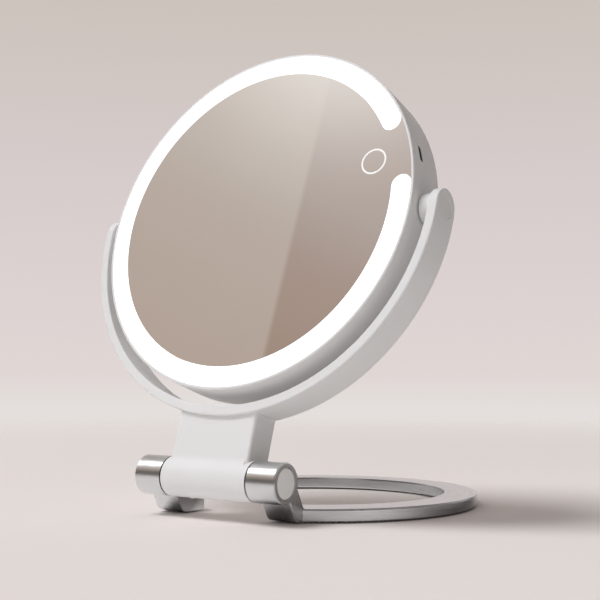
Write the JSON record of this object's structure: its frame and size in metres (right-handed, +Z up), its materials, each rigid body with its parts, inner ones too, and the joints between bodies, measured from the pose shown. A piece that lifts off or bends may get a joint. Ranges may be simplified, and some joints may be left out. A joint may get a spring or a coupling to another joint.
{
  "type": "folding lighted table mirror",
  "caption": "Round lighted table mirror, flat in front and magnifying behind, turning in a half-ring yoke on a hinged neck over a flat metal base ring.",
  "frame": {"origin": "on the floor, in the middle of the stand's width and depth", "axes": "+Z up, +X along the hinge to the viewer's right, +Y backwards, away from the viewer"},
  "size_m": [0.2028, 0.1795, 0.2323],
  "materials": {
    "satin_aluminium": "satin, brushed along the ring",
    "cap_aluminium": "fine circular brushing",
    "pad_rubber": "matt",
    "steel": "plain turned steel",
    "bearing_plastic": "matt bearing plastic",
    "stand_white": "satin white",
    "case_white": "satin silver white",
    "mirror": "polished",
    "opal": "opal, lit from behind",
    "touch_mark": "opal",
    "copper": "plain",
    "frame_grey": "matt",
    "strip_white": "printed",
    "led_phosphor": "clear over phosphor",
    "pouch_silver": "foil",
    "foam": "open foam",
    "wire_red": "extruded",
    "wire_white": "extruded",
    "board_green": "lacquered",
    "chip_black": "moulded"
  },
  "bodies": {
    "base": {"base_ring": "satin_aluminium", "base_pad": "pad_rubber", "hinge_bolt": "steel", "hinge_nut": "steel", "hinge_spring_washers": "steel", "hinge_friction_washers": "bearing_plastic", "hinge_end_caps": "cap_aluminium"},
    "arm": {"neck": "stand_white", "neck_cover": "stand_white", "neck_screws": "steel", "hinge_bushes": "bearing_plastic", "yoke": "stand_white", "pivot_collars": "stand_white", "pivot_pins": "steel", "pivot_clips": "steel", "pivot_washers": "bearing_plastic", "pivot_caps": "stand_white"},
    "head": {"case": "case_white", "front_glass": "mirror", "light_band": "opal", "touch_ring": "touch_mark", "touch_sensor": "copper", "touch_contact": "copper", "inner_frame": "frame_grey", "led_strip": "strip_white", "leds": "led_phosphor", "rear_bezel": "case_white", "rear_glass": "mirror", "frame_screws": "steel", "pivot_bushes": "bearing_plastic", "battery": "pouch_silver", "battery_pad": "foam", "battery_leads": "wire_red", "control_board": "board_green", "board_chips": "chip_black", "board_screws": "steel", "usb_shell": "steel", "usb_tongue": "chip_black", "light_leads": "wire_white"}
  },
  "joints": [
    {"name": "base_hinge", "type": "hinge", "parent": "base", "child": "arm", "pos_m": [0, -0.08026, 0.0189], "axis": [-1, 0, 0], "range_deg": [-17.4, 37.6]},
    {"name": "head_tilt", "type": "hinge", "parent": "arm", "child": "head", "pos_m": [0, -0.04153, 0.14247], "axis": [-1, 0, 0], "continuous": true}
  ]
}
